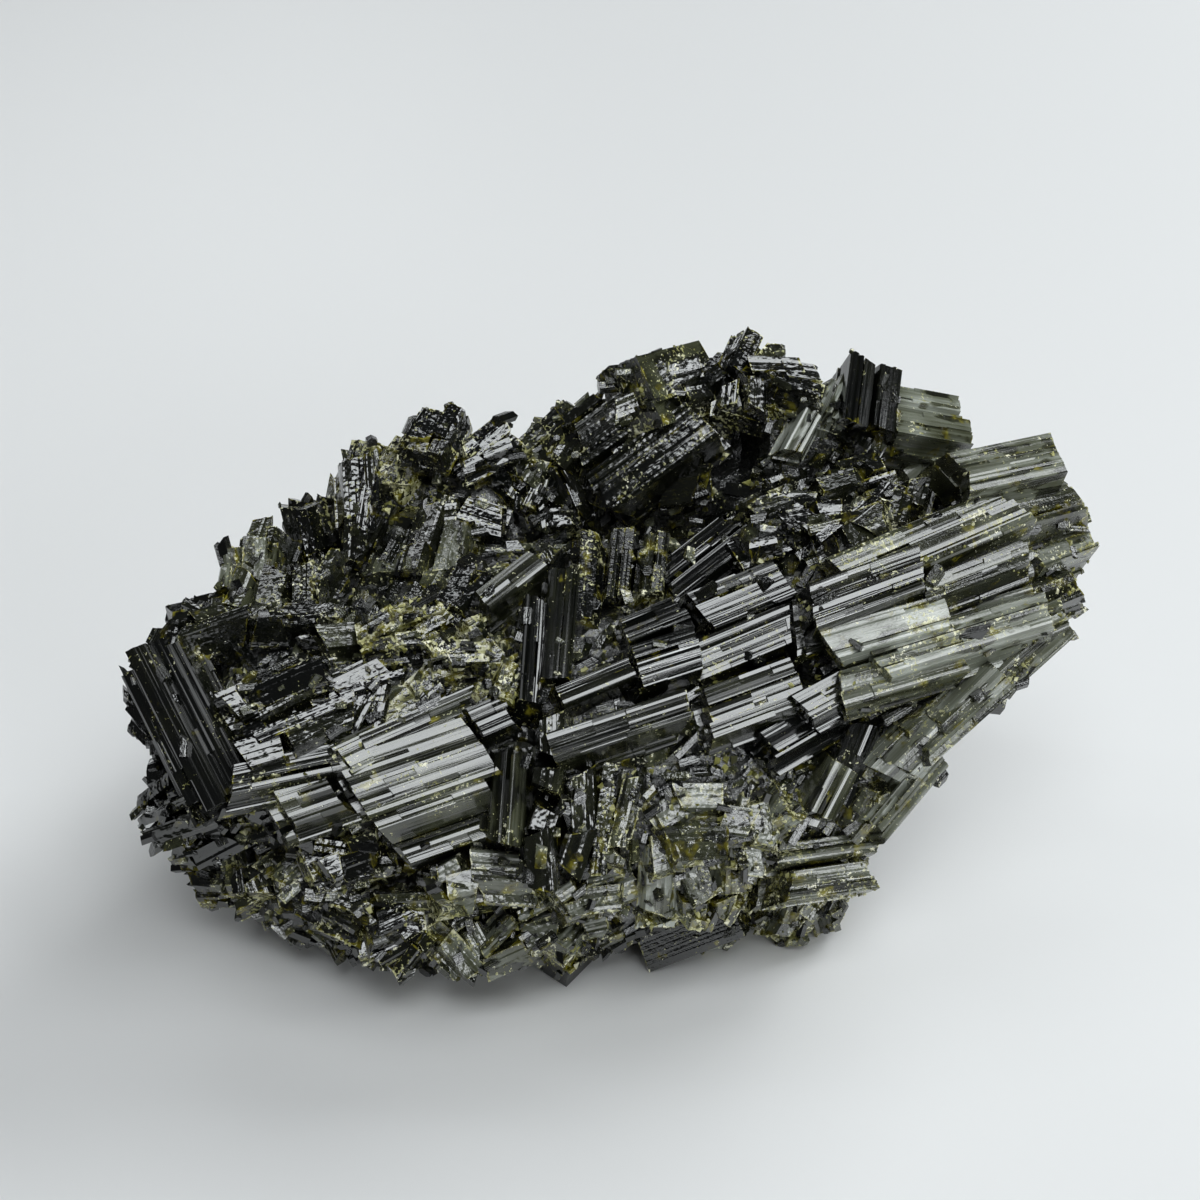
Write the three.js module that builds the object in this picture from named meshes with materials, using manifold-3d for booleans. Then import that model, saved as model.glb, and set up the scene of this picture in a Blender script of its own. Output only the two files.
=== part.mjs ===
// Epidote specimen: a cabinet-sized cluster of dark, striated prisms grown together on a massive heart.
// It is one piece of stone, so every prism is joined with the heart in one solid.
// Millimetres, +Z up. The origin is under the middle of the specimen, on the surface that it rests on.
import * as THREE from "three";
import { mergeVertices } from "three/addons/utils/BufferGeometryUtils.js";
import Module from "manifold-3d";

const DEGREE = Math.PI / 180;

// The show face is laid out as it is seen: across and up on a plane through SHOW_MIDDLE that faces the eye.
const SHOW_ELEVATION = 35 * DEGREE;
const EYE_DISTANCE = 320;
const SHOW_MIDDLE = new THREE.Vector3(0, 0, 38);

// Moves the finished solid so that the origin is under the middle of its box.
const ORIGIN_SHIFT = new THREE.Vector3(-1.2, -3, 0);

// The massive heart: rounded lumps, each with its middle and its three radii.
const HEART_LUMPS = [
  { name: "belly", at: [-5, 0, 26], radii: [56, 34, 28] },
  { name: "left shoulder", at: [-40, -4, 31], radii: [26, 28, 19] },
  { name: "right shoulder", at: [39, 6, 43], radii: [29, 26, 19] },
  { name: "back ridge", at: [22, 30, 46], radii: [34, 11, 23] },
  { name: "back left rim", at: [-25, 26, 40], radii: [26, 12, 17] },
  { name: "front foot", at: [-19, -18, 10], radii: [38, 16, 13] },
  { name: "right foot", at: [23, -10, 12], radii: [18, 12, 15] },
];
const RIDGE_HOLLOW = { name: "ridge hollow", at: [19.5, 22.5, 61.5], radii: [5.5, 9.5, 8] };
const LUMP_DETAIL = 1;
const LUMP_ROUGHNESS = 0.1;

// Prisms of the show face. across and up place the middle of a prism on the show plane, angle is its
// direction there, rise lifts its far end out of the skin, and a bundle is parted into parallel prisms.
// Columns: across, up, angle, rise, length, width, thickness, parts.
const SHOW_PRISMS = [
  // Left end
  [-61, -10, 117, 0, 29, 13, 10, 1],
  [-66, -8, 150, 0, 12, 9, 8, 1],
  [-65, 0, 140, 0, 11, 8, 8, 1],
  [-64, -17, 200, 0, 12, 9, 8, 1],
  [-62, -23, 205, 0, 11, 8, 8, 1],
  [-60, -27, 190, 10, 12, 8, 8, 1],
  [-55, -32, 185, 10, 12, 8, 7, 1],
  [-63, 4, 60, 5, 13, 9, 9, 1],
  [-57, 4, 160, 0, 16, 9, 8, 1],
  [-54, 11, 70, 10, 14, 9, 8, 1],
  [-50, 16, 85, 10, 12, 9, 8, 1],
  [-44, 18, 88, 10, 12, 8, 7, 1],
  [-48, 10, 83, 10, 11, 6, 7, 1],
  [-43, 10, 72, 10, 12, 7, 7, 1],
  [-50, 5, 5, 0, 22, 7, 8, 1],
  // Left of the middle
  [-48, -9, 17, 5, 16, 13, 10, 2],
  [-46, -17, 12, 0, 20, 6, 8, 1],
  [-43, -21, 18, 5, 12, 9, 9, 1],
  [-37, -15, 25, 0, 8, 8, 6, 1],
  [-26, -18, 18, 5, 20, 20, 11, 1],
  [-26, -10, 22, 5, 15, 7, 8, 1],
  [-16, -9, 22, 5, 9, 7, 8, 1],
  [-30, -6, 25, 0, 13, 6, 7, 1],
  [-37, 3, 14, 0, 12, 6, 6, 1],
  [-37, -4, 18, 0, 12, 7, 7, 1],
  [-34, -7, 62, 10, 9, 7, 7, 1],
  [-27, 16, 58, 15, 15, 13, 8, 3],
  [-32, 18, 62, 10, 12, 7, 7, 1],
  [-29, 5, 25, 0, 12, 9, 7, 1],
  [-20, 2, 18, 0, 11, 8, 7, 1],
  [-21, 10, 55, 0, 11, 7, 6, 1],
  [-14, 10, 38, 0, 12, 6, 6, 1],
  [-15, -4, 60, 0, 11, 8, 7, 1],
  // Rim at the upper left
  [-36, 28, 70, 10, 12, 8, 8, 1],
  [-36, 23, 92, 10, 13, 8, 8, 1],
  [-25, 33, 65, 10, 12, 9, 8, 1],
  [-34, 23, 90, 10, 10, 7, 7, 1],
  [-17, 32, 30, 5, 10, 7, 6, 1],
  [-30, 29, 40, 5, 11, 8, 7, 1],
  [-19, 21, -4, 0, 14, 7, 6, 1],
  [-7, 21, 12, 0, 8, 5, 6, 1],
  [-10, 26, 60, 20, 9, 7, 7, 1],
  [-5, 25, 110, 20, 9, 7, 7, 1],
  [-14, 29, 45, 15, 9, 8, 7, 1],
  [-9, 32, 40, 5, 12, 9, 8, 1],
  [-3, 34, 40, 5, 12, 8, 8, 1],
  // Ridge at the back
  [7, 34, 35, 5, 18, 16, 10, 2],
  [3, 29, 60, 10, 12, 10, 8, 1],
  [13, 26, 5, 5, 8, 6, 6, 1],
  [9, 41, 8, 0, 18, 8, 7, 2],
  [22, 43, 75, 10, 13, 9, 8, 1],
  [16, 42, 30, 5, 12, 8, 7, 1],
  [28, 42, -15, 5, 12, 8, 7, 1],
  [36, 39, 66, 5, 12, 5, 6, 1],
  [30, 34, 62, 5, 10, 5, 6, 1],
  [40, 39, 85, 5, 12, 8, 8, 2],
  [41, 34, 60, 5, 11, 9, 8, 1],
  [47, 36, -10, 0, 16, 11, 7, 2],
  // Right shoulder and right end
  [61, 28, 12, 0, 18, 9, 9, 2],
  [66, 22, 15, 0, 13, 8, 8, 1],
  [49, 30, 42, 10, 11, 8, 7, 1],
  [31, 24, 18, 0, 19, 6, 7, 1],
  [28, 19, 22, 0, 17, 6, 7, 1],
  [38, 19, 24, 0, 14, 8, 7, 1],
  [44, 23, 50, 0, 10, 9, 7, 1],
  [39, 27, 30, 0, 11, 8, 7, 1],
  [54, 25, 35, 5, 14, 7, 7, 1],
  [50, 17, 23, 0, 30, 10, 9, 1],
  [39, 9, 20, 0, 19, 9, 9, 1],
  [56, 12, 21, 0, 25, 6, 8, 1],
  [42, 4, 16, 0, 15, 8, 9, 1],
  [54, 3, 17, 0, 29, 10, 9, 1],
  [46, -2, 16, 0, 21, 7, 8, 1],
  [67, 16, 20, 0, 13, 8, 8, 1],
  [67, 10, 22, 0, 12, 8, 8, 1],
  [64, 4, 25, 0, 12, 7, 8, 1],
  [58, -4, 42, 0, 27, 6, 8, 1],
  [52, -8, 45, 0, 22, 6, 7, 1],
  [48, -13, 48, 0, 18, 7, 7, 1],
  [44, -20, 50, 0, 17, 8, 7, 1],
  // Middle blocks, stepped like stairs
  [21, 5, 21, 5, 17, 14, 11, 2],
  [22, -6, 19, 5, 18, 11, 10, 1],
  [17, 15, 38, 0, 14, 8, 7, 2],
  [9, -1, 18, 0, 13, 9, 9, 1],
  [8, 5, 22, 0, 10, 5, 7, 1],
  [3, -11, 17, 5, 18, 7, 9, 1],
  [-1, -4, 22, 0, 12, 5, 8, 1],
  // Upright columns of the middle
  [-10, 0, 86, 0, 21, 6, 9, 1],
  [-6, 6, 85, 0, 19, 6, 8, 1],
  [-2, 12, 85, 5, 15, 5, 7, 1],
  [3, 13, 84, 5, 14, 5, 7, 1],
  [8, 13, 84, 5, 14, 5, 7, 1],
  [-8, -20, 84, 0, 22, 6, 9, 1],
  [-3, -23, 84, 0, 14, 6, 8, 1],
  [2, -24, 80, 0, 13, 7, 8, 1],
  [-14, -20, 86, 0, 13, 7, 8, 1],
  // Foot, from left to right
  [-53, -31, 100, 15, 11, 9, 8, 1],
  [-45, -31, 30, 5, 12, 8, 8, 1],
  [-40, -36, -30, 0, 13, 9, 8, 1],
  [-37, -29, 15, 0, 13, 9, 8, 1],
  [-29, -42, 40, 0, 11, 8, 8, 1],
  [-29, -38, 15, 5, 15, 9, 8, 1],
  [-22, -41, -50, 0, 14, 9, 8, 1],
  [-18, -33, 10, 0, 17, 9, 8, 1],
  [-12, -41, 35, 0, 12, 8, 8, 1],
  [-5, -40, 28, 0, 13, 8, 8, 1],
  [-1, -34, 20, 0, 14, 8, 8, 1],
  [9, -34, 87, 0, 11, 6, 8, 1],
  [14, -34, 87, 0, 11, 6, 8, 1],
  [19, -34, 85, 0, 12, 7, 8, 1],
  [14, -24, 20, 0, 13, 10, 9, 2],
  [22, -27, 80, 0, 13, 8, 8, 1],
  [26, -24, 52, 5, 12, 7, 7, 1],
  [32, -31, 8, 0, 17, 9, 9, 2],
  [29, -38, 62, 0, 12, 8, 8, 1],
  [34, -36, 110, 0, 10, 7, 7, 1],
  [18, -40, 70, 0, 10, 8, 7, 1],
  [37, -15, 70, 5, 12, 8, 7, 1],
  [39, -25, 70, 5, 12, 8, 7, 1],
  [34, -20, 65, 5, 11, 7, 7, 1],
  [31, -10, 30, 0, 16, 8, 8, 1],
  [36, -5, 28, 0, 17, 7, 8, 1],
];

// Broad faces of the show prisms lie between the skin below them and a common tilt, like stairs. Those that
// run up to the right grew parallel and keep closest to it.
const STAIR_TILT = new THREE.Vector3(0.14, -0.53, 0.83);
const STAIR_SHARE = 0.4;
const PARALLEL_SHARE = 0.8;
const PARALLEL_ANGLES = [8, 32];

// Prisms of the back and the underside, spread evenly and set by rule.
const HIDDEN_TRIES = 76;
const HIDDEN_FACING = -0.12;
const HIDDEN_LENGTH = [15, 27];
const HIDDEN_WIDTH = [8, 15];
const HIDDEN_THICKNESS = [8, 11];
const HEART_MIDDLE = new THREE.Vector3(0, 2, 34);
const GOLDEN_ANGLE = Math.PI * (3 - Math.sqrt(5));

// Shape of one prism: a broad outer face between sloping sides, sunk in the heart, and two slanted ends.
const SHOULDER = [0.5, 0.8];
const END_SLOPE = 0.35;
const PART_OVERLAP = 1.3;
const SUNK_SHARE = 0.1;

const STONE = new THREE.MeshStandardMaterial({ color: 0x1b1f14, roughness: 0.25, metalness: 0 });

// A repeatable number from 0 to 1 for two whole numbers.
function chance(a, b) {
  const wave = Math.sin(a * 127.1 + b * 311.7) * 43758.5453;
  return wave - Math.floor(wave);
}

const between = ([low, high], share) => low + (high - low) * share;

const right = new THREE.Vector3(1, 0, 0);
const up = new THREE.Vector3(0, Math.sin(SHOW_ELEVATION), Math.cos(SHOW_ELEVATION));
const toward = new THREE.Vector3(0, -Math.cos(SHOW_ELEVATION), Math.sin(SHOW_ELEVATION));
const eye = SHOW_MIDDLE.clone().addScaledVector(toward, EYE_DISTANCE);

// The first point where a line meets the heart, with the skin's outward direction there. A line that
// passes outside finds the skin of lumps that are grown until it meets them.
function skinOn(start, direction) {
  for (let grown = 0; grown <= 40; grown += 2) {
    let nearest = Infinity;
    let normal = null;
    for (const { at, radii } of HEART_LUMPS) {
      const middle = new THREE.Vector3(...at);
      const size = new THREE.Vector3(...radii).addScalar(grown);
      const from = start.clone().sub(middle).divide(size);
      const along = direction.clone().divide(size);
      const a = along.lengthSq();
      const b = from.dot(along);
      const inside = b * b - a * (from.lengthSq() - 1);
      if (inside < 0) continue;
      const reach = (-b - Math.sqrt(inside)) / a;
      if (reach >= nearest) continue;
      nearest = reach;
      const met = start.clone().addScaledVector(direction, reach);
      normal = met.sub(middle).divide(size).divide(size).normalize();
    }
    if (normal) return { point: start.clone().addScaledVector(direction, nearest), normal };
  }
  throw new Error("a prism is placed far outside the heart");
}

// The axis, side and face directions of a prism that lies along `flat` on the skin and lifts by `rise`.
function setOnSkin(flat, normal, rise) {
  const axis = flat.clone().addScaledVector(normal, -flat.dot(normal)).normalize();
  const lifted = axis.clone().multiplyScalar(Math.cos(rise)).addScaledVector(normal, Math.sin(rise));
  const face = normal.clone().multiplyScalar(Math.cos(rise)).addScaledVector(axis, -Math.sin(rise));
  const side = lifted.clone().cross(face);
  return { axis: lifted, side, face };
}

// One prism along +Z, with a four-sided section and slanted ends.
function prismGeometry(length, width, thickness, seed) {
  const leftShoulder = between(SHOULDER, chance(seed, 5)) * width / 2;
  const rightShoulder = between(SHOULDER, chance(seed, 10)) * width / 2;
  const section = new THREE.Shape([
    new THREE.Vector2(width / 2, -thickness / 2),
    new THREE.Vector2(rightShoulder, thickness / 2),
    new THREE.Vector2(-leftShoulder, thickness / 2),
    new THREE.Vector2(-width / 2, -thickness / 2),
  ]);
  const geometry = new THREE.ExtrudeGeometry(section, { depth: length, bevelEnabled: false });
  geometry.translate(0, 0, -length / 2);
  const place = geometry.getAttribute("position");
  for (let i = 0; i < place.count; i += 1) {
    const end = place.getZ(i) > 0 ? 6 : 8;
    const slopeAcross = END_SLOPE * (2 * chance(seed, end) - 1);
    const slopeThrough = END_SLOPE * (2 * chance(seed, end + 1) - 1);
    place.setZ(i, place.getZ(i) + slopeAcross * place.getX(i) + slopeThrough * place.getY(i));
  }
  return geometry;
}

// The parallel prisms of one crystal, as geometries in place.
function crystalPrisms({ point, axis, side, face, length, width, thickness, parts, seed }) {
  const made = [];
  for (let part = 0; part < parts; part += 1) {
    const key = seed * 10 + part;
    const partLength = length * (0.85 + 0.3 * chance(key, 1));
    const partThickness = thickness * (0.85 + 0.3 * chance(key, 2));
    const partWidth = parts > 1 ? (width / parts) * PART_OVERLAP : width;
    const middle = point.clone()
      .addScaledVector(side, (part - (parts - 1) / 2) * (width / parts))
      .addScaledVector(axis, length * 0.12 * (chance(key, 3) - 0.5))
      .addScaledVector(face, thickness * (0.2 * (chance(key, 4) - 0.5) - SUNK_SHARE));
    const pose = new THREE.Matrix4().makeBasis(side, face, axis.clone().negate()).setPosition(middle);
    made.push(prismGeometry(partLength, partWidth, partThickness, key).applyMatrix4(pose));
  }
  return made;
}

// A prism of the show face, from its row in the list.
function showCrystal([across, high, angle, rise, length, width, thickness, parts]) {
  const aim = SHOW_MIDDLE.clone().addScaledVector(right, across).addScaledVector(up, high);
  const sight = aim.sub(eye).normalize();
  const { point, normal } = skinOn(eye, sight);
  const seen = right.clone().multiplyScalar(Math.cos(angle * DEGREE))
    .addScaledVector(up, Math.sin(angle * DEGREE));
  const parallel = angle >= PARALLEL_ANGLES[0] && angle <= PARALLEL_ANGLES[1];
  const stair = normal.lerp(STAIR_TILT, parallel ? PARALLEL_SHARE : STAIR_SHARE).normalize();
  const slide = THREE.MathUtils.clamp(-seen.dot(stair) / sight.dot(stair), -1, 1);
  const flat = seen.addScaledVector(sight, slide);
  const seed = 1000 + 2 * across + 151 * high;
  return { point, ...setOnSkin(flat, stair, rise * DEGREE), length, width, thickness, parts, seed };
}

// The prisms that no one lays out by hand: neighbours lie nearly parallel, as they grew.
function hiddenCrystals() {
  const found = [];
  for (let i = 0; i < HIDDEN_TRIES; i += 1) {
    const height = 1 - (2 * (i + 0.5)) / HIDDEN_TRIES;
    const round = Math.sqrt(1 - height * height);
    const out = new THREE.Vector3(round * Math.cos(i * GOLDEN_ANGLE), round * Math.sin(i * GOLDEN_ANGLE), height);
    const start = HEART_MIDDLE.clone().addScaledVector(out, EYE_DISTANCE);
    const { point, normal } = skinOn(start, out.clone().negate());
    const sight = eye.clone().sub(point).normalize();
    if (normal.dot(sight) > HIDDEN_FACING) continue;
    const level = new THREE.Vector3(-normal.y, normal.x, 0.001).normalize();
    const steep = normal.clone().cross(level);
    const turn = (25 + 50 * Math.sin(point.x / 22) + 40 * (chance(i, 21) - 0.5)) * DEGREE;
    const flat = level.multiplyScalar(Math.cos(turn)).addScaledVector(steep, Math.sin(turn));
    const rise = 20 * (chance(i, 22) - 0.5) * DEGREE;
    found.push({
      point,
      ...setOnSkin(flat, normal, rise),
      length: between(HIDDEN_LENGTH, chance(i, 23)),
      width: between(HIDDEN_WIDTH, chance(i, 24)),
      thickness: between(HIDDEN_THICKNESS, chance(i, 25)),
      parts: chance(i, 26) > 0.6 ? 2 : 1,
      seed: 40000 + i,
    });
  }
  return found;
}

// A lump of the heart: a faceted ball, roughened so that its faces look broken.
function lumpGeometry({ at, radii }) {
  const geometry = new THREE.IcosahedronGeometry(1, LUMP_DETAIL);
  const place = geometry.getAttribute("position");
  const corner = new THREE.Vector3();
  for (let i = 0; i < place.count; i += 1) {
    corner.fromBufferAttribute(place, i);
    const key = Math.round(corner.x * 50) + 7 * Math.round(corner.y * 50) + 13 * Math.round(corner.z * 50);
    corner.multiplyScalar(1 + LUMP_ROUGHNESS * (chance(key, at[0]) - 0.6));
    place.setXYZ(i, corner.x, corner.y, corner.z);
  }
  return geometry.scale(...radii).translate(...at);
}

const wasm = await Module();
wasm.setup();

// A closed geometry as a solid that can be joined and cut.
function solidOf(geometry) {
  const bare = new THREE.BufferGeometry().setAttribute("position", geometry.getAttribute("position"));
  if (geometry.index) bare.setIndex(geometry.index);
  const merged = mergeVertices(bare, 1e-4);
  return new wasm.Manifold(new wasm.Mesh({
    numProp: 3,
    vertProperties: merged.getAttribute("position").array,
    triVerts: new Uint32Array(merged.index.array),
  }));
}

// A joined solid as a geometry again.
function geometryOf(solid) {
  const { vertProperties, triVerts } = solid.getMesh();
  return new THREE.BufferGeometry()
    .setAttribute("position", new THREE.BufferAttribute(vertProperties, 3))
    .setIndex(new THREE.BufferAttribute(triVerts, 1));
}

// The outer skin alone: the largest shell of connected faces. Small hollows sealed between prisms are filled.
function outerSkin(geometry) {
  const corners = geometry.index.array;
  const shell = Array.from({ length: geometry.getAttribute("position").count }, (_, i) => i);
  const rootOf = (i) => {
    let root = i;
    while (shell[root] !== root) root = shell[root];
    while (shell[i] !== root) [shell[i], i] = [root, shell[i]];
    return root;
  };
  for (let i = 0; i < corners.length; i += 3) {
    shell[rootOf(corners[i + 1])] = rootOf(corners[i]);
    shell[rootOf(corners[i + 2])] = rootOf(corners[i]);
  }
  const faces = new Map();
  for (let i = 0; i < corners.length; i += 3) {
    const root = rootOf(corners[i]);
    if (!faces.has(root)) faces.set(root, []);
    faces.get(root).push(corners[i], corners[i + 1], corners[i + 2]);
  }
  const largest = [...faces.values()].reduce((a, b) => (b.length > a.length ? b : a));
  return geometry.setIndex(largest);
}

// The whole specimen, with the stone below its resting plane cut away.
function clusterGeometry() {
  const crystals = [...SHOW_PRISMS.map(showCrystal), ...hiddenCrystals()];
  const join = (geometries) => geometries.map(solidOf).reduce((whole, piece) => whole.add(piece));
  const heart = join(HEART_LUMPS.map(lumpGeometry)).subtract(solidOf(lumpGeometry(RIDGE_HOLLOW)));
  const joined = heart.add(join(crystals.flatMap(crystalPrisms)));
  const under = new THREE.BoxGeometry(400, 400, 100).translate(0, 0, -50);
  const skin = outerSkin(geometryOf(joined.subtract(solidOf(under))));
  return skin.translate(...ORIGIN_SHIFT.toArray());
}

const specimen = new THREE.Group();
const cluster = new THREE.Mesh(clusterGeometry(), STONE);
cluster.name = "epidote_cluster";
cluster.geometry.computeVertexNormals();
specimen.add(cluster);

export default specimen;
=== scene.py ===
# Epidote specimen: dark, striated prisms grown together on a rough heart, with small crystals and
# pistachio-green grains in the gaps. Lengths are millimetres until a mesh is made.
import math

import bmesh
import bpy
import numpy as np
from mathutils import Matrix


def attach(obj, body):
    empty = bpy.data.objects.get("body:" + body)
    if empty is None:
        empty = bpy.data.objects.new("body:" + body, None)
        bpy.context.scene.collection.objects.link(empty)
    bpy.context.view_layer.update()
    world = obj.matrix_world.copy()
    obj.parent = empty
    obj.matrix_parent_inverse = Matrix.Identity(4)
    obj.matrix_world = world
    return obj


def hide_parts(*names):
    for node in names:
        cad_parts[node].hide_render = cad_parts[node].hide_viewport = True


MM = 0.001

# The show face is laid out as it is seen: across and up on a plane through SHOW_MIDDLE that faces the eye.
SHOW_ELEVATION = math.radians(35)
EYE_DISTANCE = 320
SHOW_MIDDLE = np.array([0.0, 0.0, 38.0])
ORIGIN_SHIFT = np.array([-1.2, -3.0, 0.0])

# The massive heart: rounded lumps, each with its middle and its three radii.
HEART_LUMPS = [
    ("belly", (-5, 0, 26), (56, 34, 28)),
    ("left shoulder", (-40, -4, 31), (26, 28, 19)),
    ("right shoulder", (39, 6, 43), (29, 26, 19)),
    ("back ridge", (22, 30, 46), (34, 11, 23)),
    ("back left rim", (-25, 26, 40), (26, 12, 17)),
    ("front foot", (-19, -18, 10), (38, 16, 13)),
    ("right foot", (23, -10, 12), (18, 12, 15)),
]
RIDGE_HOLLOW = ("ridge hollow", (19.5, 22.5, 61.5), (5.5, 9.5, 8))

# Prisms of the show face. across and up place the middle of a prism on the show plane, angle is its
# direction there, rise lifts its far end out of the skin, and a bundle is parted into parallel prisms.
# Columns: across, up, angle, rise, length, width, thickness, parts.
SHOW_PRISMS = [
    # Left end
    (-61, -10, 117, 0, 29, 13, 10, 1),
    (-66, -8, 150, 0, 12, 9, 8, 1),
    (-65, 0, 140, 0, 11, 8, 8, 1),
    (-64, -17, 200, 0, 12, 9, 8, 1),
    (-62, -23, 205, 0, 11, 8, 8, 1),
    (-60, -27, 190, 10, 12, 8, 8, 1),
    (-55, -32, 185, 10, 12, 8, 7, 1),
    (-63, 4, 60, 5, 13, 9, 9, 1),
    (-57, 4, 160, 0, 16, 9, 8, 1),
    (-54, 11, 70, 10, 14, 9, 8, 1),
    (-50, 16, 85, 10, 12, 9, 8, 1),
    (-44, 18, 88, 10, 12, 8, 7, 1),
    (-48, 10, 83, 10, 11, 6, 7, 1),
    (-43, 10, 72, 10, 12, 7, 7, 1),
    (-50, 5, 5, 0, 22, 7, 8, 1),
    # Left of the middle
    (-48, -9, 17, 5, 16, 13, 10, 2),
    (-46, -17, 12, 0, 20, 6, 8, 1),
    (-43, -21, 18, 5, 12, 9, 9, 1),
    (-37, -15, 25, 0, 8, 8, 6, 1),
    (-26, -18, 18, 5, 20, 20, 11, 1),
    (-26, -10, 22, 5, 15, 7, 8, 1),
    (-16, -9, 22, 5, 9, 7, 8, 1),
    (-30, -6, 25, 0, 13, 6, 7, 1),
    (-37, 3, 14, 0, 12, 6, 6, 1),
    (-37, -4, 18, 0, 12, 7, 7, 1),
    (-34, -7, 62, 10, 9, 7, 7, 1),
    (-27, 16, 58, 15, 15, 13, 8, 3),
    (-32, 18, 62, 10, 12, 7, 7, 1),
    (-29, 5, 25, 0, 12, 9, 7, 1),
    (-20, 2, 18, 0, 11, 8, 7, 1),
    (-21, 10, 55, 0, 11, 7, 6, 1),
    (-14, 10, 38, 0, 12, 6, 6, 1),
    (-15, -4, 60, 0, 11, 8, 7, 1),
    # Rim at the upper left
    (-36, 28, 70, 10, 12, 8, 8, 1),
    (-36, 23, 92, 10, 13, 8, 8, 1),
    (-25, 33, 65, 10, 12, 9, 8, 1),
    (-34, 23, 90, 10, 10, 7, 7, 1),
    (-17, 32, 30, 5, 10, 7, 6, 1),
    (-30, 29, 40, 5, 11, 8, 7, 1),
    (-19, 21, -4, 0, 14, 7, 6, 1),
    (-7, 21, 12, 0, 8, 5, 6, 1),
    (-10, 26, 60, 20, 9, 7, 7, 1),
    (-5, 25, 110, 20, 9, 7, 7, 1),
    (-14, 29, 45, 15, 9, 8, 7, 1),
    (-9, 32, 40, 5, 12, 9, 8, 1),
    (-3, 34, 40, 5, 12, 8, 8, 1),
    # Ridge at the back
    (7, 34, 35, 5, 18, 16, 10, 2),
    (3, 29, 60, 10, 12, 10, 8, 1),
    (13, 26, 5, 5, 8, 6, 6, 1),
    (9, 41, 8, 0, 18, 8, 7, 2),
    (22, 43, 75, 10, 13, 9, 8, 1),
    (16, 42, 30, 5, 12, 8, 7, 1),
    (28, 42, -15, 5, 12, 8, 7, 1),
    (36, 39, 66, 5, 12, 5, 6, 1),
    (30, 34, 62, 5, 10, 5, 6, 1),
    (40, 39, 85, 5, 12, 8, 8, 2),
    (41, 34, 60, 5, 11, 9, 8, 1),
    (47, 36, -10, 0, 16, 11, 7, 2),
    # Right shoulder and right end
    (61, 28, 12, 0, 18, 9, 9, 2),
    (66, 22, 15, 0, 13, 8, 8, 1),
    (49, 30, 42, 10, 11, 8, 7, 1),
    (31, 24, 18, 0, 19, 6, 7, 1),
    (28, 19, 22, 0, 17, 6, 7, 1),
    (38, 19, 24, 0, 14, 8, 7, 1),
    (44, 23, 50, 0, 10, 9, 7, 1),
    (39, 27, 30, 0, 11, 8, 7, 1),
    (54, 25, 35, 5, 14, 7, 7, 1),
    (50, 17, 23, 0, 30, 10, 9, 1),
    (39, 9, 20, 0, 19, 9, 9, 1),
    (56, 12, 21, 0, 25, 6, 8, 1),
    (42, 4, 16, 0, 15, 8, 9, 1),
    (54, 3, 17, 0, 29, 10, 9, 1),
    (46, -2, 16, 0, 21, 7, 8, 1),
    (67, 16, 20, 0, 13, 8, 8, 1),
    (67, 10, 22, 0, 12, 8, 8, 1),
    (64, 4, 25, 0, 12, 7, 8, 1),
    (58, -4, 42, 0, 27, 6, 8, 1),
    (52, -8, 45, 0, 22, 6, 7, 1),
    (48, -13, 48, 0, 18, 7, 7, 1),
    (44, -20, 50, 0, 17, 8, 7, 1),
    # Middle blocks, stepped like stairs
    (21, 5, 21, 5, 17, 14, 11, 2),
    (22, -6, 19, 5, 18, 11, 10, 1),
    (17, 15, 38, 0, 14, 8, 7, 2),
    (9, -1, 18, 0, 13, 9, 9, 1),
    (8, 5, 22, 0, 10, 5, 7, 1),
    (3, -11, 17, 5, 18, 7, 9, 1),
    (-1, -4, 22, 0, 12, 5, 8, 1),
    # Upright columns of the middle
    (-10, 0, 86, 0, 21, 6, 9, 1),
    (-6, 6, 85, 0, 19, 6, 8, 1),
    (-2, 12, 85, 5, 15, 5, 7, 1),
    (3, 13, 84, 5, 14, 5, 7, 1),
    (8, 13, 84, 5, 14, 5, 7, 1),
    (-8, -20, 84, 0, 22, 6, 9, 1),
    (-3, -23, 84, 0, 14, 6, 8, 1),
    (2, -24, 80, 0, 13, 7, 8, 1),
    (-14, -20, 86, 0, 13, 7, 8, 1),
    # Foot, from left to right
    (-53, -31, 100, 15, 11, 9, 8, 1),
    (-45, -31, 30, 5, 12, 8, 8, 1),
    (-40, -36, -30, 0, 13, 9, 8, 1),
    (-37, -29, 15, 0, 13, 9, 8, 1),
    (-29, -42, 40, 0, 11, 8, 8, 1),
    (-29, -38, 15, 5, 15, 9, 8, 1),
    (-22, -41, -50, 0, 14, 9, 8, 1),
    (-18, -33, 10, 0, 17, 9, 8, 1),
    (-12, -41, 35, 0, 12, 8, 8, 1),
    (-5, -40, 28, 0, 13, 8, 8, 1),
    (-1, -34, 20, 0, 14, 8, 8, 1),
    (9, -34, 87, 0, 11, 6, 8, 1),
    (14, -34, 87, 0, 11, 6, 8, 1),
    (19, -34, 85, 0, 12, 7, 8, 1),
    (14, -24, 20, 0, 13, 10, 9, 2),
    (22, -27, 80, 0, 13, 8, 8, 1),
    (26, -24, 52, 5, 12, 7, 7, 1),
    (32, -31, 8, 0, 17, 9, 9, 2),
    (29, -38, 62, 0, 12, 8, 8, 1),
    (34, -36, 110, 0, 10, 7, 7, 1),
    (18, -40, 70, 0, 10, 8, 7, 1),
    (37, -15, 70, 5, 12, 8, 7, 1),
    (39, -25, 70, 5, 12, 8, 7, 1),
    (34, -20, 65, 5, 11, 7, 7, 1),
    (31, -10, 30, 0, 16, 8, 8, 1),
    (36, -5, 28, 0, 17, 7, 8, 1),
]

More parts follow.
